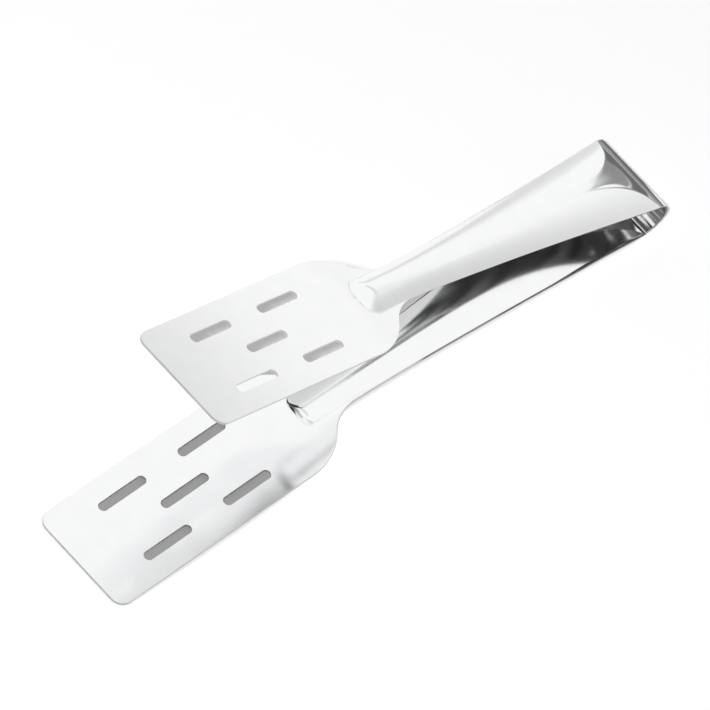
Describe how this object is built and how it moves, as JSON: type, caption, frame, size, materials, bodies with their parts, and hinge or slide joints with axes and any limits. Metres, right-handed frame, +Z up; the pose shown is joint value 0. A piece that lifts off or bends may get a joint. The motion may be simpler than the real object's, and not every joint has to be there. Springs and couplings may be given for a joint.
{
  "type": "pastry tongs",
  "caption": "Spring tongs for pastry: arched handles join in a bent bow and end in flat slotted blades that meet at the tips when squeezed.",
  "frame": {"origin": "bottom centre of the bounding box, on the surface that the lower arm lies on", "axes": "+X from the bow towards the blades' tips, +Y across the blades, +Z up; the lower handle lies along X"},
  "size_m": [0.226, 0.037, 0.0886],
  "materials": {
    "steel": "polished stainless steel"
  },
  "bodies": {
    "lower_arm": {"lower_arm": "steel", "spring_bow": "steel"},
    "upper_arm": {"upper_arm": "steel"}
  },
  "joints": [
    {"name": "squeeze", "type": "hinge", "parent": "lower_arm", "child": "upper_arm", "pos_m": [-0.10615, 0, 0.0094], "axis": [0, 1, 0], "range_deg": [0, 23], "stiffness_Nm_per_rad": 2, "springref_deg": -1.38}
  ]
}
